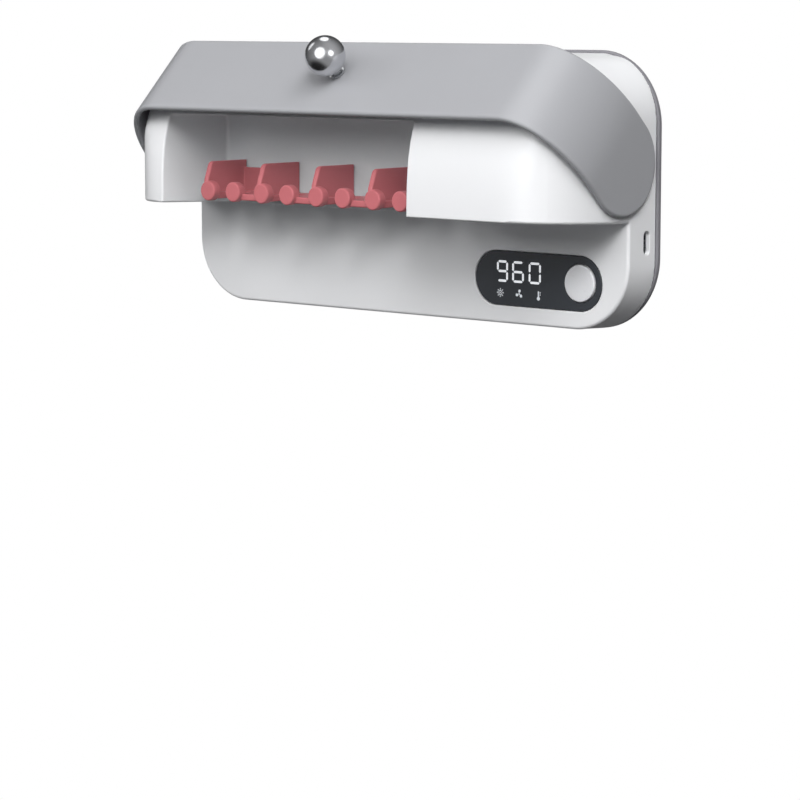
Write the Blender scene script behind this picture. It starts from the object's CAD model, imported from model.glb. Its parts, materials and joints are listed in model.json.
"""Looks for the wall-mounted toothbrush sanitizer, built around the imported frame.

The big mouldings are skinned from smooth distance fields (mm, row frame), so every edge
carries its real fillet.  Small hardware keeps its CAD node and only gets a material.
"""
import json
import math

import bmesh
import bpy
import numpy as np
from mathutils import Matrix, Vector


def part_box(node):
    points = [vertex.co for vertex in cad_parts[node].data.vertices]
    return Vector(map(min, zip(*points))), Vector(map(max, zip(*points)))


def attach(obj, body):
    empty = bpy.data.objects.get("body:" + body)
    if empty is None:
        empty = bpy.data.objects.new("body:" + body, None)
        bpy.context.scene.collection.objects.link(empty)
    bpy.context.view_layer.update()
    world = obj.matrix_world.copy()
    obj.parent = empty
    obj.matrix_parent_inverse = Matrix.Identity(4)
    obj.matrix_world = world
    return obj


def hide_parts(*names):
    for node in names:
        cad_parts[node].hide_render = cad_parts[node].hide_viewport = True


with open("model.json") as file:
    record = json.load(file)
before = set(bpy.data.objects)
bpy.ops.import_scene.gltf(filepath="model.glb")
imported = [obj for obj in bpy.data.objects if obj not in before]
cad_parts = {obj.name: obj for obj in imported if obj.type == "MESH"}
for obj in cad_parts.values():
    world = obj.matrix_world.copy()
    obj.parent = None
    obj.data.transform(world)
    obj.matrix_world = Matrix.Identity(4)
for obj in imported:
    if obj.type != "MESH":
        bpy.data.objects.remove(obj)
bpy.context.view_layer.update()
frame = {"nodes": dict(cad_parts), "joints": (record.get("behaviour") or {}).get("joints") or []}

MM = 0.001


def mm_box(node):
    lo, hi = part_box(node)
    return np.array(lo) / MM, np.array(hi) / MM


# ------------------------------------------------------------------ dimensions, from the frame
H_LO, H_HI = mm_box("main_housing")
P_LO, P_HI = mm_box("rear_cover")
L_LO, L_HI = mm_box("display_lens")
B_LO, B_HI = mm_box("power_button")
T_LO, T_HI = mm_box("toothbrush_holder")
HINGE = next(j for j in frame["joints"] if j["name"] == "cover_hinge")

BODY_W, BODY_TOP, BODY_BOTTOM, BODY_BACK = float(H_HI[0]), float(H_HI[2]), float(H_LO[2]), float(H_HI[1])
HOOD_Y = float(H_LO[1])
BODY_R, WALL, PANEL_Y = 27.2, 2.2, -20.2
HOOD_BOTTOM_FRONT, HOOD_BOTTOM_REAR = -9.68, -11.54
HOOD_ARC_Y, HOOD_ARC_Z, HOOD_CORNER = -35.8, -7.0, 27.8
CHAMBER_X0, CHAMBER_X1, CHAMBER_TOP, CHAMBER_BACK = -92.8, 45.0, 28.1, -29.4
AXIS_Y, AXIS_Z = -26.4, 12.1
COVER_OPEN = math.radians(44.6)
COVER_REACH, COVER_HALF_W, COVER_T = 47.8, 121.4, 2.1
COVER_CX, COVER_CY = 27.0, 39.8
COVER_UP, COVER_DOWN, COVER_DISC = 19.3, 20.4, 20.7
SLOT_X = [-72.1 + i * 31.4 for i in range(4)]
HOOK_X = [-76.0, 26.0]
LENS_X, LENS_Z = float(L_LO[0] + L_HI[0]) / 2, float(L_LO[2] + L_HI[2]) / 2
LENS_W, LENS_H = float(L_HI[0] - L_LO[0]), float(L_HI[2] - L_LO[2])
BUTTON_X, BUTTON_Z = float(B_LO[0] + B_HI[0]) / 2, float(B_LO[2] + B_HI[2]) / 2
USB_Y, USB_Z, USB_H, USB_W = -8.2, -19.8, 9.4, 3.8
FAN_Y, FAN_Z = -47.0, 9.0
CASE_SCREWS = [(-108.1, 43.3), (108.1, 43.3), (-106.0, -42.0), (109.5, -34.0)]


# ------------------------------------------------------------------ distance fields
def corner(u, v, a, b):
    """Two faces at u = a and v = b that meet in a quarter ellipse; u, v run outwards from its centre."""
    up, vp = np.maximum(u, 0.0), np.maximum(v, 0.0)
    k1 = np.sqrt((up / a) ** 2 + (vp / b) ** 2)
    k2 = np.sqrt((up / a ** 2) ** 2 + (vp / b ** 2) ** 2)
    ell = k1 * (k1 - 1.0) / np.maximum(k2, 1e-9)
    return np.where((u > 0) & (v > 0), ell, np.maximum(u - a, v - b))


def meet(a, b, r):
    """Common part of two fields, with a round of radius r along their edge."""
    u, v = np.maximum(a + r, 0.0), np.maximum(b + r, 0.0)
    return np.minimum(np.maximum(a, b), -r) + np.sqrt(u * u + v * v)


def join(a, b, r):
    return -meet(-a, -b, r)


def cut(a, b, r):
    return meet(a, -b, r)


def box(x, y, z, bx, by, bz, r=0.0):
    q = [np.abs(c - (b[0] + b[1]) / 2) - abs(b[1] - b[0]) / 2 + r for c, b in ((x, bx), (y, by), (z, bz))]
    out = np.sqrt(sum(np.maximum(k, 0.0) ** 2 for k in q))
    return out + np.minimum(np.maximum(np.maximum(q[0], q[1]), q[2]), 0.0) - r


def rod(u, v, w, cu, cv, radius, lo, hi, r=0.0):
    """Cylinder of a radius about (cu, cv), between lo and hi along w, edges rounded by r."""
    side = np.sqrt((u - cu) ** 2 + (v - cv) ** 2) - radius
    cap = np.abs(w - (lo + hi) / 2) - abs(hi - lo) / 2
    return meet(side, cap, r) if r else np.maximum(side, cap)


def rrect(u, v, bu, bv, r):
    p = np.abs(u - (bu[0] + bu[1]) / 2) - abs(bu[1] - bu[0]) / 2 + r
    q = np.abs(v - (bv[0] + bv[1]) / 2) - abs(bv[1] - bv[0]) / 2 + r
    return np.sqrt(np.maximum(p, 0) ** 2 + np.maximum(q, 0) ** 2) + np.minimum(np.maximum(p, q), 0.0) - r


def slab(w, lo, hi):
    return np.abs(w - (lo + hi) / 2) - abs(hi - lo) / 2


def slope_of(f, x, y, z, e=0.08):
    base = f(x, y, z)
    g = [(f(x + e, y, z) - base) / e, (f(x, y + e, z) - base) / e, (f(x, y, z + e) - base) / e]
    n = np.sqrt(g[0] ** 2 + g[1] ** 2 + g[2] ** 2) + 1e-9
    return base, [k / n for k in g]


def alike(ga, gb):
    return np.clip(sum(p * q for p, q in zip(ga, gb)), 0.0, 1.0)


def soft_meet(fa, fb, r):
    """Like meet, but the round fades out where the two faces run alongside each other."""
    def f(x, y, z):
        a, ga = slope_of(fa, x, y, z)
        b, gb = slope_of(fb, x, y, z)
        return meet(a, b, r * (1.0 - alike(ga, gb)))
    return f


# ------------------------------------------------------------------ skinning a field
def lines(lo, hi, marks, coarse, grow=0.3):
    """Grid lines from lo to hi; marks are (from, to, step) bands that want a fine step."""
    out = [lo]
    while out[-1] < hi:
        x = out[-1]
        step = coarse
        for a, b, h in marks:
            d = max(a - x, x - b, 0.0)
            step = min(step, h + grow * d)
        out.append(x + step)
    return np.array(out)


def mesh_object(name, co, faces, normals=None, sharp=None):
    mesh = bpy.data.meshes.new(name)
    co, faces = np.asarray(co, np.float32), np.asarray(faces, np.int32)
    mesh.vertices.add(len(co))
    mesh.vertices.foreach_set("co", co.ravel())
    mesh.loops.add(faces.size)
    mesh.loops.foreach_set("vertex_index", faces.ravel())
    mesh.polygons.add(len(faces))
    mesh.polygons.foreach_set("loop_start", np.arange(0, faces.size, faces.shape[1], dtype=np.int32))
    mesh.update(calc_edges=True)
    mesh.polygons.foreach_set("use_smooth", np.ones(len(faces), bool))
    if normals is not None:
        mesh.normals_split_custom_set_from_vertices(np.asarray(normals, np.float32))
    obj = bpy.data.objects.new(name, mesh)
    bpy.context.scene.collection.objects.link(obj)
    return obj


def skin(name, field, xs, ys, zs, place=None):
    """Closed quad surface of a field on a rectilinear grid, with normals from the field itself."""
    shape = (len(xs), len(ys), len(zs))
    F = np.array(np.broadcast_to(field(xs[:, None, None], ys[None, :, None], zs[None, None, :]), shape), np.float32)
    F[F == 0] = 1e-6
    inside = F < 0
    cells = tuple(s - 1 for s in shape)
    total = cells[0] * cells[1] * cells[2]
    axes = (xs, ys, zs)
    acc, count, rings = [np.zeros(total) for _ in range(3)], np.zeros(total), []
    for ax in range(3):
        lo = [slice(None)] * 3
        hi = [slice(None)] * 3
        lo[ax], hi[ax] = slice(0, -1), slice(1, None)
        idx = np.nonzero(inside[tuple(lo)] != inside[tuple(hi)])
        nxt = list(idx)
        nxt[ax] = idx[ax] + 1
        fa, fb = F[idx].astype(float), F[tuple(nxt)].astype(float)
        t = fa / (fa - fb)
        pos = [axes[k][idx[k]].astype(float) for k in range(3)]
        pos[ax] = axes[ax][idx[ax]] * (1 - t) + axes[ax][idx[ax] + 1] * t
        b, c = (ax + 1) % 3, (ax + 2) % 3
        ring = []
        for db, dc in ((1, 1), (0, 1), (0, 0), (1, 0)):
            cell = list(idx)
            cell[b] = idx[b] - db
            cell[c] = idx[c] - dc
            ring.append((cell[0] * cells[1] + cell[1]) * cells[2] + cell[2])
        flip = fa > 0
        quad = np.stack(ring, 1)
        quad[flip] = quad[flip][:, ::-1]
        rings.append(quad)
        for r in ring:
            count += np.bincount(r, minlength=total)
            for k in range(3):
                acc[k] += np.bincount(r, weights=pos[k], minlength=total)
    quads = np.concatenate(rings)
    used, inverse = np.unique(quads, return_inverse=True)
    quads = inverse.reshape(quads.shape)
    co = np.stack([acc[k][used] / count[used] for k in range(3)], 1)
    i0 = used // (cells[1] * cells[2])
    i1 = used // cells[2] % cells[1]
    i2 = used % cells[2]
    room = np.stack([np.diff(xs)[i0], np.diff(ys)[i1], np.diff(zs)[i2]], 1) * 0.45
    start = co.copy()
    e = 0.03

    def gradient(p):
        x, y, z = p[:, 0], p[:, 1], p[:, 2]
        g = [field(x + e, y, z) - field(x - e, y, z), field(x, y + e, z) - field(x, y - e, z),
             field(x, y, z + e) - field(x, y, z - e)]
        return np.stack([np.broadcast_to(k, x.shape) for k in g], 1) / (2 * e)
    for _ in range(2):
        g = gradient(co)
        d = np.broadcast_to(field(co[:, 0], co[:, 1], co[:, 2]), len(co))
        co = co - g * (d / np.maximum((g * g).sum(1), 0.3))[:, None]
        co = np.clip(co, start - room, start + room)
    g = gradient(co)
    n = g / np.maximum(np.linalg.norm(g, axis=1), 1e-6)[:, None]
    if place is not None:                    # place mirrors, so the rings turn round
        co, n, quads = place(co), place(n, True), quads[:, ::-1]
    return mesh_object(name, co * MM, quads, n)


# ------------------------------------------------------------------ main housing
def hood_front(x, y, z):
    return corner(HOOD_ARC_Y - y, z - HOOD_ARC_Z, HOOD_ARC_Y - HOOD_Y, BODY_TOP - HOOD_ARC_Z)


def flare(y):
    """The shell's top and bottom open out a little towards the rear cover."""
    return 0.6 * np.clip((y + 17.0) / 12.0, 0.0, 1.0)


def side_view(x, y, z, drop=0.0):
    """Hood and body seen from the side, with the hood's lower edge and the inner corner rounded."""
    hood = hood_front(x, y, z) + drop
    slope = (HOOD_BOTTOM_REAR - HOOD_BOTTOM_FRONT) / (PANEL_Y - HOOD_Y)
    low = HOOD_BOTTOM_FRONT + slope * (y - HOOD_Y) - z
    top = z - BODY_TOP - flare(y)
    hood = meet(hood, low, 0.6)
    body = np.maximum(PANEL_Y - y, top)
    return join(hood, body, 0.7)


def front_view(x, y, z):
    mid, half = (BODY_TOP + BODY_BOTTOM) / 2, (BODY_TOP - BODY_BOTTOM) / 2
    return corner(np.abs(x) - (BODY_W - BODY_R), np.abs(z - mid) - (half + flare(y) - BODY_R), BODY_R, BODY_R)


def top_view(x, y, z):
    return corner(np.abs(x) - (BODY_W - HOOD_CORNER), (HOOD_Y + HOOD_CORNER) - y, HOOD_CORNER, HOOD_CORNER)


def swept_room(x, y, z, inset=0.0):
    """Everything inside the cover's sweep, from closed to open."""
    dy, dz = AXIS_Y - y, z - AXIS_Z
    angle = np.arctan2(dz, dy)
    reach = np.where(dz <= 0, dy, np.where(angle < COVER_OPEN, np.sqrt(dy * dy + dz * dz),
                                           dy * math.cos(COVER_OPEN) + dz * math.sin(COVER_OPEN)))
    w, r = COVER_HALF_W - COVER_T - 0.3, COVER_REACH - COVER_T - 0.5
    cx, cy = COVER_CX - COVER_T - 0.3, COVER_CY - COVER_T - 0.5
    return corner(np.abs(x) - (w - cx), reach - (r - cy), cx, cy)


envelope = soft_meet(soft_meet(front_view, top_view, 5.0), swept_room, 4.0)


def outer_skin(x, y, z, blend=4.0):
    """Side view and envelope together; where the hood's front crosses its corner at a shallow angle, they melt together."""
    front, gf = slope_of(hood_front, x, y, z)
    around, ga = slope_of(envelope, x, y, z)
    drop = alike(gf, ga) * blend / 4 * np.maximum(1.0 - np.abs(front - around) / blend, 0.0) ** 2
    side, gs = slope_of(lambda p, q, s: side_view(p, q, s, drop), x, y, z)
    return meet(side, around + drop, 1.3 * (1.0 - alike(gs, ga)))


def stadium(x, z, grow):
    r, d = LENS_H / 2 + grow, LENS_W / 2 - LENS_H / 2
    return np.sqrt(np.maximum(np.abs(x - LENS_X) - d, 0) ** 2 + (z - LENS_Z) ** 2) - r


def housing_field(x, y, z):
    outer = outer_skin(x, y, z)
    void = outer + WALL
    walls = box(x, y, z, (CHAMBER_X0 - WALL, CHAMBER_X1 + WALL), (-90.0, CHAMBER_BACK + WALL), (-40.0, CHAMBER_TOP + WALL), 1.0)
    void = cut(void, walls, 0.8)
    h = np.maximum(np.maximum(outer, y - BODY_BACK), -void)
    h = cut(h, box(x, y, z, (CHAMBER_X0, CHAMBER_X1), (-110.0, CHAMBER_BACK), (-60.0, CHAMBER_TOP), 1.6), 0.8)
    h = np.minimum(h, np.maximum(stadium(x, z, 1.6), slab(y, -19.2, -16.8)))
    h = cut(h, np.maximum(stadium(x, z, 0.3), slab(y, -40.0, -18.5)), 0.25)
    h = np.maximum(h, -box(x, y, z, (48.3, 78.7), (-25.0, -14.0), (-46.4, -27.6)))
    h = np.maximum(h, -rod(x, z, y, BUTTON_X, BUTTON_Z, 7.9, -25.0, -14.0))
    for pz in (-31.0, -42.0):
        h = np.minimum(h, rod(x, z, y, 82.0, pz, 1.4, -17.5, -9.3))
    for sx, sz in CASE_SCREWS:
        front = -19.0 if sz < 0 else -24.0
        h = np.minimum(h, rod(x, z, y, sx, sz, 3.2, front, -4.0))
        h = np.maximum(h, -rod(x, z, y, sx, sz, 1.6, front + 3.0, 0.0))
    for lo in (-130.0, 110.0):
        h = np.maximum(h, -rod(y, z, x, AXIS_Y, AXIS_Z, 8.9, lo, lo + 20.0))
    port = np.maximum(rrect(y, z, (USB_Y - USB_W / 2, USB_Y + USB_W / 2), (USB_Z - USB_H / 2, USB_Z + USB_H / 2), 1.8),
                      slab(x, 110.0, 130.0))
    h = cut(h, port, 0.35)
    for i in range(5):
        yy = FAN_Y + (i - 2) * 5.0
        h = cut(h, box(x, y, z, (44.0, 48.0), (yy - 1.4, yy + 1.4), (FAN_Z - 11.0, FAN_Z + 11.0), 0.8), 0.3)
    for i in range(5):
        xx = 64.0 + i * 6.0
        h = cut(h, box(x, y, z, (xx - 1.3, xx + 1.3), (-60.0, -36.0), (-16.0, -5.0), 0.9), 0.3)
    h = np.maximum(h, -box(x, y, z, (-82.0, 32.0), (-52.0, -44.0), (26.0, 31.5), 0.8))
    for hx in HOOK_X:
        h = np.maximum(h, -box(x, y, z, (hx - 4.3, hx + 4.3), (-30.5, -26.5), (-4.7, 3.8), 0.4))
    return h


Q = 1.0
hx_lines = lines(-BODY_W - 2, BODY_W + 2,
                 [(-BODY_W - 1, -BODY_W + 3.2, 0.45 * Q), (BODY_W - 3.2, BODY_W + 1, 0.45 * Q),
                  (CHAMBER_X0 - 2.6, CHAMBER_X0 + 2.2, 0.45 * Q), (CHAMBER_X1 - 2.2, CHAMBER_X1 + 2.6, 0.45 * Q),
                  (LENS_X - LENS_W / 2 - 2, LENS_X - LENS_W / 2 + 9, 0.55 * Q), (BUTTON_X - 9, LENS_X + LENS_W / 2 + 2, 0.5 * Q),
                  (62.0, 90.0, 0.6 * Q), (-81.0, -71.0, 0.9 * Q), (21.0, 31.0, 0.9 * Q), (103.5, 113.0, 0.8 * Q),
                  (-111.0, -102.5, 0.8 * Q)], 1.5)
hy_lines = lines(HOOD_Y - 1.5, BODY_BACK + 1.5,
                 [(HOOD_Y - 1, HOOD_Y + 4, 0.45 * Q), (-60.5, -35.0, 0.8 * Q), (CHAMBER_BACK - 2, CHAMBER_BACK + 2.7, 0.5 * Q),
                  (PANEL_Y - 1.2, PANEL_Y + 4.2, 0.4 * Q), (USB_Y - 2.6, USB_Y + 2.6, 0.4 * Q), (-4.6, -2.0, 0.45 * Q)], 1.15)
hz_lines = lines(BODY_BOTTOM - 1.5, BODY_TOP + 1.5,
                 [(BODY_BOTTOM - 1, BODY_BOTTOM + 3, 0.5 * Q), (LENS_Z - LENS_H / 2 - 1, LENS_Z - LENS_H / 2 + 3, 0.5 * Q),
                  (LENS_Z + LENS_H / 2 - 3, LENS_Z + LENS_H / 2 + 1, 0.5 * Q), (USB_Z - 5.6, USB_Z + 5.6, 0.5 * Q),
                  (-12.6, -6.5, 0.4 * Q), (CHAMBER_TOP - 2, CHAMBER_TOP + 3.5, 0.45 * Q), (BODY_TOP - 3, BODY_TOP + 1, 0.5 * Q)], 1.2)
housing = skin("housing_moulding", housing_field, hx_lines, hy_lines, hz_lines)


# ------------------------------------------------------------------ rear cover
def rear_field(x, y, z):
    h = meet(rrect(x, z, (P_LO[0], P_HI[0]), (P_LO[2], P_HI[2]), 30.0), slab(y, -2.4, 0.0), 0.7)
    h = join(h, box(x, y, z, (-38.0, 38.0), (-1.9, -6.4), (5.8, 48.2), 0.6), 0.5)
    h = np.maximum(h, -box(x, y, z, (-35.0, 35.0), (1.0, -4.6), (8.0, 27.0)))
    h = np.maximum(h, -box(x, y, z, (-35.0, 35.0), (-2.0, -4.6), (26.5, 46.0)))
    h = np.maximum(h, -box(x, y, z, (-30.0, 30.0), (1.0, -2.5), (26.5, 46.0)))
    for px, pz in ((70.0, -20.0), (104.0, 8.0)):
        h = np.minimum(h, rod(x, z, y, px, pz, 3.0, -1.9, -4.5))
        h = np.maximum(h, -rod(x, z, y, px, pz, 1.2, -6.0, -1.2))
    for sx, sz in CASE_SCREWS:
        h = cut(h, rod(x, z, y, sx, sz, 3.1, -1.6, 3.0), 0.25)
        h = np.maximum(h, -rod(x, z, y, sx, sz, 1.7, -5.0, -1.0))
    return h


rear = skin("rear_shell", rear_field,
            lines(P_LO[0] - 1, P_HI[0] + 1, [(P_LO[0] - 1, P_LO[0] + 1.5, 0.35 * Q), (P_HI[0] - 1.5, P_HI[0] + 1, 0.35 * Q),
                                             (-38.6, -29.4, 0.6 * Q), (29.4, 38.6, 0.6 * Q), (66.5, 73.5, 0.7 * Q),
                                             (100.5, 113.0, 0.7 * Q), (-111.0, -102.5, 0.7 * Q)], 2.2 * Q),
            lines(-7.2, 0.9, [(-7.2, 0.9, 0.32 * Q)], 0.32 * Q),
            lines(P_LO[2] - 1, P_HI[2] + 1, [(P_LO[2] - 1, P_LO[2] + 1.5, 0.35 * Q), (P_HI[2] - 1.5, P_HI[2] + 1, 0.35 * Q),
                                             (5.2, 8.8, 0.6 * Q), (25.8, 27.8, 0.5 * Q), (45.4, 48.8, 0.6 * Q),
                                             (-24.0, -16.5, 0.7 * Q), (4.5, 11.5, 0.7 * Q), (-46.0, -30.5, 0.7 * Q),
                                             (39.0, 46.5, 0.7 * Q)], 2.2 * Q))


# ------------------------------------------------------------------ flip cover, in (x, reach, height), closed
def cover_turn(p, direction=False):
    c, s = math.cos(COVER_OPEN), math.sin(COVER_OPEN)
    y, z = -p[:, 1] * c + p[:, 2] * s, p[:, 1] * s + p[:, 2] * c
    if direction:
        return np.stack([p[:, 0], y, z], 1)
    return np.stack([p[:, 0], AXIS_Y + y, AXIS_Z + z], 1)


def cover_field(x, w, h):
    cx, cy = COVER_CX, COVER_CY
    outer = corner(np.abs(x) - (COVER_HALF_W - cx), w - (COVER_REACH - cy), cx, cy)
    inner = corner(np.abs(x) - (COVER_HALF_W - cx), w - (COVER_REACH - cy), cx - COVER_T, cy - COVER_T)
    k = np.clip(w / COVER_REACH, 0.0, 1.0)
    band = np.maximum(h - (COVER_DISC + (COVER_UP - COVER_DISC) * k), -h - (COVER_DISC + (COVER_DOWN - COVER_DISC) * k))
    disc = np.sqrt(w * w + h * h) - COVER_DISC
    side = np.where(w >= 0, band, disc)
    f = meet(outer, side, 1.25)
    f = cut(f, inner, 0.55)
    for s in (-1, 1):
        lo, hi = sorted((s * 115.2, s * (COVER_HALF_W - 1.0)))
        f = join(f, rod(w, h, x, 0.0, 0.0, 6.5, lo, hi, 0.4), 0.5)
        lo, hi = sorted((s * 112.0, s * 119.6))
        f = np.maximum(f, -rod(w, h, x, 0.0, 0.0, 1.7, lo, hi))
    band_in = COVER_REACH - COVER_T
    f = np.maximum(f, -rod(x, h, w, 80.0, -2.0, 3.3, band_in - 2.0, band_in + 1.3))
    f = np.maximum(f, -rod(x, h, w, 0.0, 1.0, 1.8, band_in - 5.0, band_in + 5.0))
    return f


cover = skin("flip_cover_moulding", cover_field,
             lines(-COVER_HALF_W - 1.5, COVER_HALF_W + 1.5,
                   [(-COVER_HALF_W - 1, -COVER_HALF_W + 3.0, 0.3 * Q), (COVER_HALF_W - 3.0, COVER_HALF_W + 1, 0.3 * Q),
                    (-COVER_HALF_W, -96.0, 0.5 * Q), (96.0, COVER_HALF_W, 0.5 * Q), (-3.0, 3.0, 0.5 * Q), (76.0, 84.0, 0.6 * Q)], 1.6 * Q),
             lines(-COVER_DISC - 1.2, COVER_REACH + 1.2,
                   [(COVER_REACH - 3.0, COVER_REACH + 1, 0.3 * Q), (8.0, COVER_REACH, 0.5 * Q), (-7.5, 7.5, 0.7 * Q), (-COVER_DISC - 1, -COVER_DISC + 2, 0.45 * Q)], 0.75 * Q),
             lines(-COVER_DISC - 1.2, COVER_DISC + 1.2,
                   [(-COVER_DISC - 1, -COVER_DISC + 2.4, 0.3 * Q), (COVER_UP - 2.2, COVER_DISC + 1, 0.3 * Q), (-6.0, 7.0, 0.7 * Q)], 0.9 * Q),
             cover_turn)


# ------------------------------------------------------------------ toothbrush holder
HOLD_BACK = CHAMBER_BACK - 0.3


def holder_field(x, y, z):
    x0, x1 = SLOT_X[0] - 11.6, SLOT_X[3] + 11.6
    plan = rrect(x, y, (x0, x1), (-53.4, HOLD_BACK + 20.0), 1.2)
    for sx in SLOT_X:
        gap = np.where(y < -43.0, np.abs(x - sx) - 5.0, np.sqrt((x - sx) ** 2 + (y + 43.0) ** 2) - 5.0)
        plan = meet(plan, -gap, 1.0)
    plan = np.maximum(plan, y - HOLD_BACK)
    f = meet(plan, slab(z, -8.3, -5.5), 0.55)
    for sx in SLOT_X:
        # rib: two slanted front faces, level top
        a = (-53.0 - y) * 0.9738 + (-7.0 - z) * 0.2272
        b = (-54.4 - y) * 0.9371 + (z + 1.0) * 0.3487
        face = meet(meet(a, b, 1.0), z - 7.6, 1.6)
        face = np.maximum(np.maximum(face, y - HOLD_BACK), -7.6 - z)
        f = join(f, meet(face, slab(x, sx - 10.9, sx - 8.4), 0.7), 0.7)
        for d in (-1, 1):
            f = join(f, rod(x, z, y, sx + d * 7.4, -4.8, 4.25, -55.4, -51.4, 0.7), 0.3)
    for hx in HOOK_X:
        f = join(f, box(x, y, z, (hx - 6.0, hx + 6.0), (HOLD_BACK - 2.0, HOLD_BACK), (-7.5, 4.4), 0.5), 0.4)
        arm = box(x, y, z, (hx - 4.0, hx + 4.0), (-31.0, -25.4), (-4.4, -1.0), 0.3)
        drop = box(x, y, z, (hx - 4.0, hx + 4.0), (-26.9, -25.4), (-8.2, -1.0), 0.3)
        f = np.minimum(np.minimum(f, arm), drop)
    return f


hold_marks = []
for sx in SLOT_X:
    hold_marks += [(sx - 11.7, sx - 7.6, 0.38 * Q), (sx - 12.2, sx + 12.2, 0.42 * Q)]
hold_marks += [(HOOK_X[0] - 6.6, HOOK_X[0] + 6.6, 0.6 * Q), (HOOK_X[1] - 6.6, HOOK_X[1] + 6.6, 0.6 * Q)]
holder = skin("holder_moulding", holder_field,
              lines(T_LO[0] - 1, T_HI[0] + 1, hold_marks, 0.9 * Q),
              lines(T_LO[1] - 1, T_HI[1] + 1, [(-56.4, -50.5, 0.35 * Q), (-43.5, -37.0, 0.6 * Q), (-32.5, -24.9, 0.42 * Q)], 0.9 * Q),
              lines(T_LO[2] - 1, T_HI[2] + 1, [(-9.4, 0.4, 0.36 * Q), (3.0, 8.4, 0.4 * Q)], 0.7 * Q))


# ------------------------------------------------------------------ lens
def lens_field(x, y, z):
    f = meet(stadium(x, z, 0.0), slab(y, -20.1, -18.8), 0.22)
    return cut(f, rod(x, z, y, BUTTON_X, BUTTON_Z, 7.9, -25.0, -14.0), 0.2)


lens = skin("display_glass", lens_field,
            lines(L_LO[0] - 0.6, L_HI[0] + 0.6, [(L_LO[0], L_LO[0] + 11.0, 0.35 * Q), (BUTTON_X - 8.6, L_HI[0], 0.3 * Q)], 2.0),
            lines(-20.5, -18.4, [(-20.5, -18.4, 0.14)], 0.14),
            lines(L_LO[2] - 0.6, L_HI[2] + 0.6, [(L_LO[2], L_HI[2], 0.35 * Q)], 0.35 * Q))


# ------------------------------------------------------------------ turned pieces
def lathe(name, profile, steps, place):
    """Closed turned solid; profile runs from the axis and back to it, place maps (radius, turn, along) to mm."""
    co, rows = [], []
    for r, w in profile:
        if r < 1e-6:
            rows.append([len(co)])
            co.append(place(0.0, 0.0, w))
        else:
            rows.append(list(range(len(co), len(co) + steps)))
            co += [place(r * math.cos(2 * math.pi * k / steps), r * math.sin(2 * math.pi * k / steps), w) for k in range(steps)]
    bm = bmesh.new()
    vs = [bm.verts.new(Vector(c) * MM) for c in co]
    for a, b in zip(rows, rows[1:]):
        for k in range(steps):
            j = (k + 1) % steps
            ring = [a[k % len(a)], a[j % len(a)], b[j % len(b)], b[k % len(b)]]
            ring = [v for i, v in enumerate(ring) if v not in ring[:i]]
            if len(ring) > 2:
                bm.faces.new([vs[v] for v in ring])
    bmesh.ops.recalc_face_normals(bm, faces=bm.faces)
    mesh = bpy.data.meshes.new(name)
    bm.to_mesh(mesh)
    bm.free()
    mesh.shade_smooth()
    mesh.set_sharp_from_angle(angle=math.radians(38))
    obj = bpy.data.objects.new(name, mesh)
    bpy.context.scene.collection.objects.link(obj)
    return obj


def rounded(points, radius, steps=6):
    """Profile with each inner corner replaced by a small arc (quadratic)."""
    out = [points[0]]
    for p, q, r in zip(points, points[1:], points[2:]):
        a, b, c = Vector(p), Vector(q), Vector(r)
        d = min(radius, (a - b).length * 0.45, (c - b).length * 0.45)
        s, e = b + (a - b).normalized() * d, b + (c - b).normalized() * d
        for k in range(steps + 1):
            t = k / steps
            out.append(tuple((s * (1 - t) + b * t) * (1 - t) + (b * (1 - t) + e * t) * t))
    out.append(points[-1])
    return out


cap = lathe("button_cap", rounded([(0.0, -20.93), (4.5, -20.95), (7.5, -20.9), (7.5, -16.2), (8.7, -16.2), (8.7, -15.2),
                                   (2.0, -15.2), (2.0, -14.7), (0.0, -14.7)], 0.7),
            72, lambda a, b, w: (BUTTON_X + a, w, BUTTON_Z + b))

KNOB_R = 8.35
ball_w, front_w = COVER_REACH + 10.3, COVER_REACH
lower = math.asin(3.1 / KNOB_R)
profile = [(KNOB_R * math.sin(t), ball_w + KNOB_R * math.cos(t)) for t in np.linspace(0.0, math.pi - lower, 60)]
profile += [(2.9, front_w + 2.75), (2.0, front_w + 2.75), (1.75, front_w + 2.95), (1.75, front_w + 9.0), (0.0, front_w + 9.0)]


def on_cover(a, b, w):
    return tuple(cover_turn(np.array([[a, w, 1.0 + b]]))[0])


ball = lathe("knob_sphere", profile, 96, on_cover)
# the flat under the ball starts where the sphere reaches a radius of 3.1


# ------------------------------------------------------------------ display read-out, on the glass
GLASS_Y = float(L_LO[1])


def plate_piece(name, polygons, y0, y1):
    """Thin closed plates from (x, z) outlines."""
    bm = bmesh.new()
    for ring in polygons:
        area = sum(p[0] * q[1] - q[0] * p[1] for p, q in zip(ring, ring[1:] + ring[:1]))
        if area < 0:
            ring = ring[::-1]
        lo = [bm.verts.new((x * MM, y0 * MM, z * MM)) for x, z in ring]
        hi = [bm.verts.new((x * MM, y1 * MM, z * MM)) for x, z in ring]
        bm.faces.new(lo)
        bm.faces.new(hi[::-1])
        for k in range(len(ring)):
            j = (k + 1) % len(ring)
            bm.faces.new([lo[j], lo[k], hi[k], hi[j]])
    bmesh.ops.recalc_face_normals(bm, faces=bm.faces)
    mesh = bpy.data.meshes.new(name)
    bm.to_mesh(mesh)
    bm.free()
    obj = bpy.data.objects.new(name, mesh)
    bpy.context.scene.collection.objects.link(obj)
    return obj


def segment(p, q, w):
    """Pointed bar from p to q, w wide."""
    p, q = Vector(p), Vector(q)
    d = (q - p).normalized()
    n = Vector((-d.y, d.x)) * w / 2
    return [tuple(p), tuple(p + d * w / 2 + n), tuple(q - d * w / 2 + n), tuple(q), tuple(q - d * w / 2 - n), tuple(p + d * w / 2 - n)]


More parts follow.
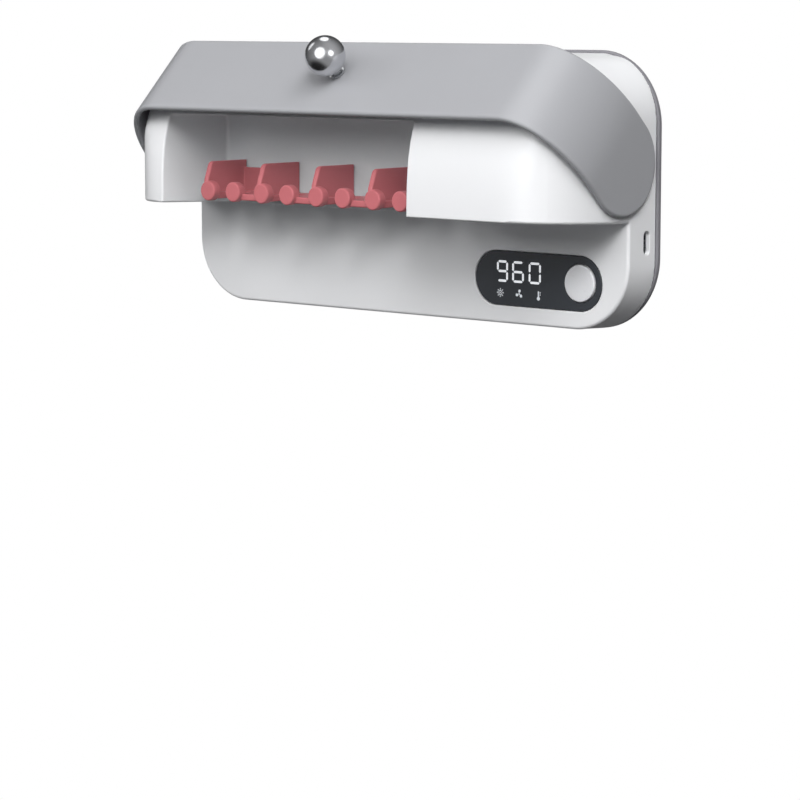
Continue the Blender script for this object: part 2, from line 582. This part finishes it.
def digit(x0, x1, z0, z1, lit, w=0.95, gap=0.24):
    xl, xr, zb, zt, zm = x0 + w / 2, x1 - w / 2, z0 + w / 2, z1 - w / 2, (z0 + z1) / 2
    ends = {"a": ((xl, zt), (xr, zt)), "g": ((xl, zm), (xr, zm)), "d": ((xl, zb), (xr, zb)),
            "f": ((xl, zm), (xl, zt)), "b": ((xr, zm), (xr, zt)), "e": ((xl, zb), (xl, zm)), "c": ((xr, zb), (xr, zm))}
    out = []
    for k in lit:
        p, q = Vector(ends[k][0]), Vector(ends[k][1])
        d = (q - p).normalized() * gap
        out.append(segment(p + d, q - d, w))
    return out


def disc(cx, cz, r, n=28, a0=0.0, a1=2 * math.pi):
    full = abs(a1 - a0) > 6.28
    return [(cx + r * math.cos(a0 + (a1 - a0) * k / (n if full else n - 1)),
             cz + r * math.sin(a0 + (a1 - a0) * k / (n if full else n - 1))) for k in range(n)]


digits = digit(52.0, 57.8, -38.2, -29.4, "abcdfg") + digit(60.0, 66.1, -38.2, -29.4, "acdefg") \
    + digit(68.6, 74.9, -38.2, -29.4, "abcdef")
readout = plate_piece("display_digits", digits, GLASS_Y - 0.03, GLASS_Y + 0.08)

icons = []
sx, sz = 53.85, -42.7                                   # lamp symbol: a disc with rays
for k in range(2):
    arc = [math.radians(180 * k + 4 + 172 * i / 14) for i in range(15)]
    icons.append([(sx + 0.98 * math.cos(a), sz + 0.98 * math.sin(a)) for a in arc]
                 + [(sx + 0.70 * math.cos(a), sz + 0.70 * math.sin(a)) for a in reversed(arc)])
icons.append(disc(sx, sz, 0.30, 18))
for k in range(8):
    a = math.radians(45 * k)
    c, s = math.cos(a), math.sin(a)
    icons.append([(sx + c * r - s * w, sz + s * r + c * w) for r, w in ((1.22, 0.2), (1.22, -0.2), (1.8, -0.2), (1.8, 0.2))])
fx, fz = 63.7, -42.7                                    # fan symbol: hub and three blades
icons.append(disc(fx, fz, 0.38, 18))
for k in range(3):
    a = math.radians(90 + 120 * k)
    blade = [(0.5, -0.25), (0.9, -0.75), (1.5, -0.85), (1.9, -0.35), (1.75, 0.2), (1.25, 0.45), (0.7, 0.35)]
    icons.append([(fx + math.cos(a) * u - math.sin(a) * v, fz + math.sin(a) * u + math.cos(a) * v) for u, v in blade])
tx, tz = 73.7, -42.8                                    # thermometer symbol: bulb and stem
icons.append(disc(tx, tz - 1.15, 0.78, 24))
icons.append([(tx - 0.33, tz - 0.5), (tx + 0.33, tz - 0.5), (tx + 0.33, tz + 1.6), (tx + 0.2, tz + 1.85), (tx - 0.2, tz + 1.85), (tx - 0.33, tz + 1.6)])
for k in range(3):
    icons.append([(tx + 0.6, tz + 0.15 + k * 0.55), (tx + 1.15, tz + 0.15 + k * 0.55), (tx + 1.15, tz + 0.38 + k * 0.55), (tx + 0.6, tz + 0.38 + k * 0.55)])
symbols = plate_piece("display_symbols", icons, GLASS_Y - 0.03, GLASS_Y + 0.08)


# ------------------------------------------------------------------ materials
def linear(rgb):
    return tuple(((c / 255 / 12.92) if c / 255 <= 0.04045 else ((c / 255 + 0.055) / 1.055) ** 2.4) for c in rgb)


def nodes_of(name):
    mat = bpy.data.materials.new(name)
    mat.use_nodes = True
    tree = mat.node_tree
    shader = tree.nodes["Principled BSDF"]
    return mat, tree, shader


def moulded(name, rgb, rough, grain=0.12, grain_scale=1500.0, vary=0.03, coat=0.0, wear=0.10, ior=1.46, metallic=0.0,
            specular=0.5, sss=0.0):
    """Moulded plastic: fine tool texture, slight flow variation in tone and gloss, lighter rubbed edges."""
    mat, tree, shader = nodes_of(name)
    n, l = tree.nodes, tree.links
    where = n.new("ShaderNodeTexCoord")
    flow = n.new("ShaderNodeTexNoise")
    flow.inputs["Scale"].default_value = 26.0
    flow.inputs["Detail"].default_value = 5.0
    flow.inputs["Roughness"].default_value = 0.55
    l.new(where.outputs["Object"], flow.inputs["Vector"])
    fine = n.new("ShaderNodeTexNoise")
    fine.inputs["Scale"].default_value = grain_scale
    fine.inputs["Detail"].default_value = 2.0
    l.new(where.outputs["Object"], fine.inputs["Vector"])
    specks = n.new("ShaderNodeTexNoise")
    specks.inputs["Scale"].default_value = 320.0
    specks.inputs["Detail"].default_value = 3.0
    l.new(where.outputs["Object"], specks.inputs["Vector"])

    base = linear(rgb)
    tone = n.new("ShaderNodeMix")
    tone.data_type = "RGBA"
    tone.inputs[6].default_value = (*[c * (1 - vary) for c in base], 1)
    tone.inputs[7].default_value = (*[min(c * (1 + vary), 1) for c in base], 1)
    l.new(flow.outputs["Fac"], tone.inputs[0])

    edge = n.new("ShaderNodeNewGeometry")
    ramp = n.new("ShaderNodeMapRange")
    ramp.inputs["From Min"].default_value = 0.51
    ramp.inputs["From Max"].default_value = 0.60
    ramp.inputs["To Min"].default_value = 0.0
    ramp.inputs["To Max"].default_value = wear
    l.new(edge.outputs["Pointiness"], ramp.inputs["Value"])
    rub = n.new("ShaderNodeMath")
    rub.operation = "MULTIPLY"
    l.new(ramp.outputs["Result"], rub.inputs[0])
    l.new(specks.outputs["Fac"], rub.inputs[1])
    worn = n.new("ShaderNodeMix")
    worn.data_type = "RGBA"
    l.new(rub.outputs[0], worn.inputs[0])
    l.new(tone.outputs[2], worn.inputs[6])
    worn.inputs[7].default_value = (*[min(1.0, c * 1.25 + 0.05) for c in base], 1)
    l.new(worn.outputs[2], shader.inputs["Base Color"])

    gloss = n.new("ShaderNodeMapRange")
    gloss.inputs["To Min"].default_value = rough - 0.05
    gloss.inputs["To Max"].default_value = rough + 0.05
    l.new(flow.outputs["Fac"], gloss.inputs["Value"])
    shine = n.new("ShaderNodeMath")
    shine.operation = "SUBTRACT"
    l.new(gloss.outputs["Result"], shine.inputs[0])
    l.new(rub.outputs[0], shine.inputs[1])
    l.new(shine.outputs[0], shader.inputs["Roughness"])

    bump = n.new("ShaderNodeBump")
    bump.inputs["Strength"].default_value = grain
    bump.inputs["Distance"].default_value = 0.00006
    l.new(fine.outputs["Fac"], bump.inputs["Height"])
    l.new(bump.outputs["Normal"], shader.inputs["Normal"])
    shader.inputs["IOR"].default_value = ior
    shader.inputs["Metallic"].default_value = metallic
    shader.inputs["Specular IOR Level"].default_value = specular
    shader.inputs["Coat Weight"].default_value = coat
    shader.inputs["Coat Roughness"].default_value = 0.12
    if sss:
        shader.inputs["Subsurface Weight"].default_value = sss
        shader.inputs["Subsurface Radius"].default_value = (0.002, 0.0018, 0.0016)
        shader.inputs["Subsurface Scale"].default_value = 0.5
    return mat


def metal(name, rgb, rough, brush=0.0, scale=900.0, stretch=(1.0, 1.0, 1.0), vary=0.05):
    """Metal with fine scratches in its gloss and a faint tarnish in its colour."""
    mat, tree, shader = nodes_of(name)
    n, l = tree.nodes, tree.links
    where = n.new("ShaderNodeTexCoord")
    map_ = n.new("ShaderNodeMapping")
    map_.inputs["Scale"].default_value = stretch
    l.new(where.outputs["Object"], map_.inputs["Vector"])
    streak = n.new("ShaderNodeTexNoise")
    streak.inputs["Scale"].default_value = scale
    streak.inputs["Detail"].default_value = 4.0
    l.new(map_.outputs["Vector"], streak.inputs["Vector"])
    smudge = n.new("ShaderNodeTexNoise")
    smudge.inputs["Scale"].default_value = 150.0
    smudge.inputs["Detail"].default_value = 3.0
    l.new(where.outputs["Object"], smudge.inputs["Vector"])
    base = linear(rgb)
    tone = n.new("ShaderNodeMix")
    tone.data_type = "RGBA"
    tone.inputs[6].default_value = (*[c * (1 - vary) for c in base], 1)
    tone.inputs[7].default_value = (*base, 1)
    l.new(smudge.outputs["Fac"], tone.inputs[0])
    l.new(tone.outputs[2], shader.inputs["Base Color"])
    both = n.new("ShaderNodeMath")
    both.operation = "MULTIPLY"
    l.new(streak.outputs["Fac"], both.inputs[0])
    l.new(smudge.outputs["Fac"], both.inputs[1])
    gloss = n.new("ShaderNodeMapRange")
    gloss.inputs["From Max"].default_value = 0.5
    gloss.inputs["To Min"].default_value = rough * 0.7
    gloss.inputs["To Max"].default_value = rough * 1.35
    l.new(both.outputs[0], gloss.inputs["Value"])
    l.new(gloss.outputs["Result"], shader.inputs["Roughness"])
    shader.inputs["Metallic"].default_value = 1.0
    if brush:
        bump = n.new("ShaderNodeBump")
        bump.inputs["Strength"].default_value = brush
        bump.inputs["Distance"].default_value = 0.00003
        l.new(streak.outputs["Fac"], bump.inputs["Height"])
        l.new(bump.outputs["Normal"], shader.inputs["Normal"])
    return mat


def smoked(name):
    """Smoked acrylic over the display: near-black body, polished, with a faint sheen drift and hairline wipe marks."""
    mat, tree, shader = nodes_of(name)
    n, l = tree.nodes, tree.links
    where = n.new("ShaderNodeTexCoord")
    drift = n.new("ShaderNodeTexNoise")
    drift.inputs["Scale"].default_value = 60.0
    l.new(where.outputs["Object"], drift.inputs["Vector"])
    ramp = n.new("ShaderNodeMix")
    ramp.data_type = "RGBA"
    ramp.inputs[6].default_value = (*linear((48, 52, 58)), 1)
    ramp.inputs[7].default_value = (*linear((58, 62, 68)), 1)
    l.new(drift.outputs["Fac"], ramp.inputs[0])
    l.new(ramp.outputs[2], shader.inputs["Base Color"])
    wipe = n.new("ShaderNodeMapping")
    wipe.inputs["Scale"].default_value = (0.15, 1.0, 1.0)
    wipe.inputs["Rotation"].default_value = (0.0, 0.5, 0.0)
    l.new(where.outputs["Object"], wipe.inputs["Vector"])
    hair = n.new("ShaderNodeTexNoise")
    hair.inputs["Scale"].default_value = 1400.0
    hair.inputs["Detail"].default_value = 3.0
    l.new(wipe.outputs["Vector"], hair.inputs["Vector"])
    gloss = n.new("ShaderNodeMapRange")
    gloss.inputs["To Min"].default_value = 0.10
    gloss.inputs["To Max"].default_value = 0.22
    l.new(hair.outputs["Fac"], gloss.inputs["Value"])
    l.new(gloss.outputs["Result"], shader.inputs["Roughness"])
    shader.inputs["IOR"].default_value = 1.49
    shader.inputs["Coat Weight"].default_value = 0.5
    shader.inputs["Coat Roughness"].default_value = 0.06
    return mat


def glowing(name, rgb, strength):
    """Back-lit segment: even glow that falls off slightly between its light sources."""
    mat, tree, shader = nodes_of(name)
    n, l = tree.nodes, tree.links
    where = n.new("ShaderNodeTexCoord")
    cells = n.new("ShaderNodeTexNoise")
    cells.inputs["Scale"].default_value = 420.0
    l.new(where.outputs["Object"], cells.inputs["Vector"])
    power = n.new("ShaderNodeMapRange")
    power.inputs["To Min"].default_value = strength * 0.85
    power.inputs["To Max"].default_value = strength * 1.1
    l.new(cells.outputs["Fac"], power.inputs["Value"])
    l.new(power.outputs["Result"], shader.inputs["Emission Strength"])
    shader.inputs["Emission Color"].default_value = (*linear(rgb), 1)
    shader.inputs["Base Color"].default_value = (*linear((200, 205, 210)), 1)
    shader.inputs["Roughness"].default_value = 0.3
    return mat


MATS = {
    "white_plastic": moulded("white_plastic", (247, 248, 250), 0.36, grain=0.10, vary=0.012, wear=0.12, sss=0.0),
    "grey_plastic": moulded("grey_plastic", (168, 169, 173), 0.31, grain=0.14, grain_scale=1700.0, vary=0.02, wear=0.16),
    "rear_plastic": moulded("rear_plastic", (134, 133, 138), 0.42, grain=0.18, grain_scale=1500.0, vary=0.03, wear=0.14),
    "coral_plastic": moulded("coral_plastic", (214, 120, 126), 0.45, grain=0.16, vary=0.03, wear=0.10),
    "button_plastic": moulded("button_plastic", (244, 245, 248), 0.30, grain=0.08, vary=0.01, wear=0.12),
    "black_plastic": moulded("black_plastic", (26, 26, 28), 0.45, grain=0.3, vary=0.10, wear=0.25),
    "natural_acetal": moulded("natural_acetal", (225, 224, 215), 0.4, grain=0.1, vary=0.02, wear=0.1),
    "circuit_board": moulded("circuit_board", (22, 84, 52), 0.4, grain=0.35, grain_scale=900.0, vary=0.18, wear=0.1, coat=0.3),
    "lamp_diffuser": moulded("lamp_diffuser", (222, 226, 238), 0.35, grain=0.1, vary=0.03, wear=0.05),
    "cell_wrap": moulded("cell_wrap", (44, 92, 150), 0.3, grain=0.15, vary=0.06, wear=0.1, coat=0.4),
    "clear_window": moulded("clear_window", (205, 212, 222), 0.12, grain=0.04, vary=0.03, wear=0.05),
    "adhesive_foam": moulded("adhesive_foam", (205, 203, 196), 0.85, grain=0.8, grain_scale=700.0, vary=0.08, wear=0.0),
    "heater_ceramic": moulded("heater_ceramic", (206, 198, 182), 0.7, grain=0.5, grain_scale=800.0, vary=0.06, wear=0.15),
    "cable_jacket": moulded("cable_jacket", (30, 30, 32), 0.5, grain=0.25, vary=0.1, wear=0.1),
    "chrome": metal("chrome", (208, 209, 212), 0.19, vary=0.02),
    "zinc_steel": metal("zinc_steel", (188, 190, 192), 0.26, brush=0.25, scale=1400.0, vary=0.12),
    "nickel": metal("nickel", (196, 190, 180), 0.2, brush=0.1, vary=0.08),
    "smoked_lens": smoked("smoked_lens"),
    "readout": glowing("readout", (236, 238, 242), 0.66),
    "symbols": glowing("symbols", (214, 218, 224), 0.42),
}

# the holder's bounce onto the white chamber is kept neutral, as its matt walls show it
tree = MATS["coral_plastic"].node_tree
tint = next(k for k in tree.links if k.to_socket == tree.nodes["Principled BSDF"].inputs["Base Color"])
seen_by = tree.nodes.new("ShaderNodeLightPath")
calm = tree.nodes.new("ShaderNodeMix")
calm.data_type = "RGBA"
tree.links.new(seen_by.outputs["Is Diffuse Ray"], calm.inputs[0])
tree.links.new(tint.from_socket, calm.inputs[6])
calm.inputs[7].default_value = (0.34, 0.32, 0.32, 1)
tree.links.new(calm.outputs[2], tree.nodes["Principled BSDF"].inputs["Base Color"])

for obj, key, body, nodes in (
        (housing, "white_plastic", "housing", ("main_housing",)),
        (rear, "rear_plastic", "housing", ("rear_cover",)),
        (cover, "grey_plastic", "flip_cover", ("flip_cover",)),
        (holder, "coral_plastic", "toothbrush_holder", ("toothbrush_holder",)),
        (lens, "smoked_lens", "housing", ("display_lens",)),
        (cap, "button_plastic", "power_button", ("power_button",)),
        (ball, "chrome", "flip_cover", ("knob_ball",)),
        (readout, "readout", "housing", ()),
        (symbols, "symbols", "housing", ())):
    obj.data.materials.clear()
    obj.data.materials.append(MATS[key])
    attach(obj, body)
    if nodes:
        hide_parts(*nodes)

shown = {}
for name, node in frame["nodes"].items():
    for i, old in enumerate(list(node.data.materials)):
        label = old.name.split(".")[0] if old else ""
        shown.setdefault(label, []).append(name)
        if label in MATS:
            node.data.materials[i] = MATS[label]
print("cad materials", {k: len(v) for k, v in shown.items()}, "unmatched", [k for k in shown if k not in MATS])


# ------------------------------------------------------------------ camera, floor and light
scene = bpy.context.scene
YAW, PITCH = math.radians(41.03), math.radians(7.653)
FORWARD = Vector((-math.sin(YAW) * math.cos(PITCH), math.cos(YAW) * math.cos(PITCH), -math.sin(PITCH)))
data = bpy.data.cameras.new("camera")
data.lens, data.sensor_width = 130.5, 36.0
data.clip_start, data.clip_end = 0.05, 60.0
cam = bpy.data.objects.new("camera", data)
scene.collection.objects.link(cam)
cam.location = (0.7999, -0.9401, 0.0719)
cam.rotation_mode = "QUATERNION"
cam.rotation_quaternion = FORWARD.to_track_quat("-Z", "Y")
scene.camera = cam
RIGHT = FORWARD.cross(Vector((0, 0, 1))).normalized()
UPWARD = RIGHT.cross(FORWARD).normalized()
AIM = Vector((0.0, -0.03, 0.0))

bm = bmesh.new()
bmesh.ops.create_grid(bm, x_segments=24, y_segments=24, size=12.0)
bmesh.ops.translate(bm, verts=bm.verts, vec=(0.0, 0.0, -0.42))
floor_mesh = bpy.data.meshes.new("floor")
bm.to_mesh(floor_mesh)
bm.free()
floor = bpy.data.objects.new("floor", floor_mesh)
scene.collection.objects.link(floor)
mat, tree, shader = nodes_of("pale_floor")
shader.inputs["Base Color"].default_value = (0.10, 0.10, 0.102, 1)
shader.inputs["Roughness"].default_value = 0.9
shader.inputs["Specular IOR Level"].default_value = 0.1
n, l = tree.nodes, tree.links
path = n.new("ShaderNodeLightPath")
white = n.new("ShaderNodeEmission")
white.inputs["Color"].default_value = (1, 1, 1, 1)
white.inputs["Strength"].default_value = 1.0
clear = n.new("ShaderNodeBsdfTransparent")
soften = n.new("ShaderNodeMixShader")
l.new(path.outputs["Is Glossy Ray"], soften.inputs[0])
l.new(shader.outputs[0], soften.inputs[1])
l.new(clear.outputs[0], soften.inputs[2])
mix = n.new("ShaderNodeMixShader")
l.new(path.outputs["Is Camera Ray"], mix.inputs[0])
l.new(soften.outputs[0], mix.inputs[1])
l.new(white.outputs[0], mix.inputs[2])
side = n.new("ShaderNodeNewGeometry")                  # a camera under the floor looks through it
both = n.new("ShaderNodeMixShader")
l.new(side.outputs["Backfacing"], both.inputs[0])
l.new(mix.outputs[0], both.inputs[1])
l.new(clear.outputs[0], both.inputs[2])
l.new(both.outputs[0], n["Material Output"].inputs["Surface"])
floor.data.materials.append(mat)

world = bpy.data.worlds.new("studio")
scene.world = world
world.use_nodes = True
wt = world.node_tree
wn, wl = wt.nodes, wt.links
for node in list(wn):
    wn.remove(node)
out = wn.new("ShaderNodeOutputWorld")
geo = wn.new("ShaderNodeTexCoord")


def towards(axis, start, end, low, high):
    """Smooth ramp from low to high as the ray turns from cosine start to cosine end about a camera-axis direction."""
    d = (RIGHT * axis[0] + UPWARD * axis[1] - FORWARD * axis[2]).normalized()
    dot = wn.new("ShaderNodeVectorMath")
    dot.operation = "DOT_PRODUCT"
    wl.new(geo.outputs["Generated"], dot.inputs[0])
    dot.inputs[1].default_value = d
    ramp = wn.new("ShaderNodeMapRange")
    ramp.interpolation_type = "SMOOTHSTEP"
    for key, v in (("From Min", start), ("From Max", end), ("To Min", low), ("To Max", high)):
        ramp.inputs[key].default_value = v
    wl.new(dot.outputs["Value"], ramp.inputs["Value"])
    return ramp.outputs["Result"]


def times(a, b):
    m = wn.new("ShaderNodeMath")
    m.operation = "MULTIPLY"
    for socket, v in zip(m.inputs, (a, b)):
        if isinstance(v, float):
            socket.default_value = v
        else:
            wl.new(v, socket)
    return m.outputs[0]


room = times(towards((0.0, 0.0, 1.0), -0.95, 0.6, 0.07, 0.34), towards((-0.50, -0.90, 0.0), 0.60, 0.92, 1.0, 0.07))
room = times(room, towards((0.62, 0.45, 0.2), 0.2, 0.9, 1.0, 1.5))
soft = wn.new("ShaderNodeBackground")
soft.inputs["Color"].default_value = (1.0, 1.0, 1.01, 1)
gloss_only = wn.new("ShaderNodeMix")
gloss_only.data_type = "FLOAT"
gloss_only.inputs[2].default_value = 0.02
wl.new(room, gloss_only.inputs[3])
plain = wn.new("ShaderNodeBackground")
plain.inputs["Color"].default_value = (1, 1, 1, 1)
lp = wn.new("ShaderNodeLightPath")
wl.new(lp.outputs["Is Glossy Ray"], gloss_only.inputs[0])
wl.new(gloss_only.outputs[0], soft.inputs["Strength"])
wmix = wn.new("ShaderNodeMixShader")
wl.new(lp.outputs["Is Camera Ray"], wmix.inputs[0])
wl.new(soft.outputs[0], wmix.inputs[1])
wl.new(plain.outputs[0], wmix.inputs[2])
wl.new(wmix.outputs[0], out.inputs["Surface"])


def soft_light(name, direction, distance, size, watts, shape="DISK", size_y=None):
    """Area light seen from the knob along a direction given in camera axes (right, up, towards the camera)."""
    d = RIGHT * direction[0] + UPWARD * direction[1] - FORWARD * direction[2]
    d.normalize()
    lamp = bpy.data.lights.new(name, "AREA")
    lamp.shape = shape
    lamp.size = size
    if size_y:
        lamp.size_y = size_y
    lamp.energy = watts
    obj = bpy.data.objects.new(name, lamp)
    scene.collection.objects.link(obj)
    obj.location = AIM + d * distance
    obj.rotation_mode = "QUATERNION"
    obj.rotation_quaternion = d.to_track_quat("Z", "Y")
    return obj


def room_axes(v):
    v = Vector(v)
    return v.dot(RIGHT), v.dot(UPWARD), -v.dot(FORWARD)


# soft boxes that the knob and the satin cover mirror
for name, direction, distance, size, watts, extra in (("key", (-0.49, 0.204, 0.847), 2.2, 2.45, 24.0, ()),
                                                      ("fill", (0.527, 0.176, 0.832), 2.4, 1.25, 8.0, ()),
                                                      ("top", (-0.067, 0.977, -0.20), 1.8, 0.85, 4.2, ("ELLIPSE", 1.2)),
                                                      ("left", (-0.765, 0.58, -0.28), 1.9, 0.62, 1.7, ("ELLIPSE", 1.0))):
    soft_light(name, direction, distance, size, watts, *extra).visible_diffuse = False
# a sheen along the cover's bend, which shows in nothing else
bend = soft_light("bend", (-0.03, 0.862, 0.505), 2.0, 1.5, 11.0)
bend.visible_diffuse = False
cover_only = bpy.data.collections.new("cover_only")
cover_only.objects.link(cover)
bend.light_linking.receiver_collection = cover_only
# wide lights that only shade
for name, towards_, distance, size, watts in (("front_low", (0.2, -0.92, 0.36), 2.4, 1.0, 8.8),
                                              ("front_left", (-0.35, -0.87, 0.36), 2.4, 1.0, 6.0),
                                              ("left_side", (-0.8, -0.5, 0.35), 2.2, 1.0, 10.5),
                                              ("right_low", (0.7, -0.62, 0.3), 2.4, 0.9, 2.8),
                                              ("right", (0.55, -0.65, 0.5), 2.4, 0.9, 24.5),
                                              ("far_right", (0.85, -0.3, 0.45), 2.4, 0.9, 2.0),
                                              ("top_front", (0, -0.6, 0.8), 2.0, 1.2, 6.2),
                                              ("top_right", (0.6, -0.3, 0.75), 2.0, 1.0, 16.5),
                                              ("behind", (-0.12, 0.95, 0.30), 2.3, 0.8, 36.0)):
    soft_light(name, room_axes(towards_), distance, size, watts).visible_glossy = False

scene.view_settings.view_transform = "Standard"
scene.view_settings.look = "None"
scene.view_settings.exposure = 0.0
scene.view_settings.gamma = 1.0
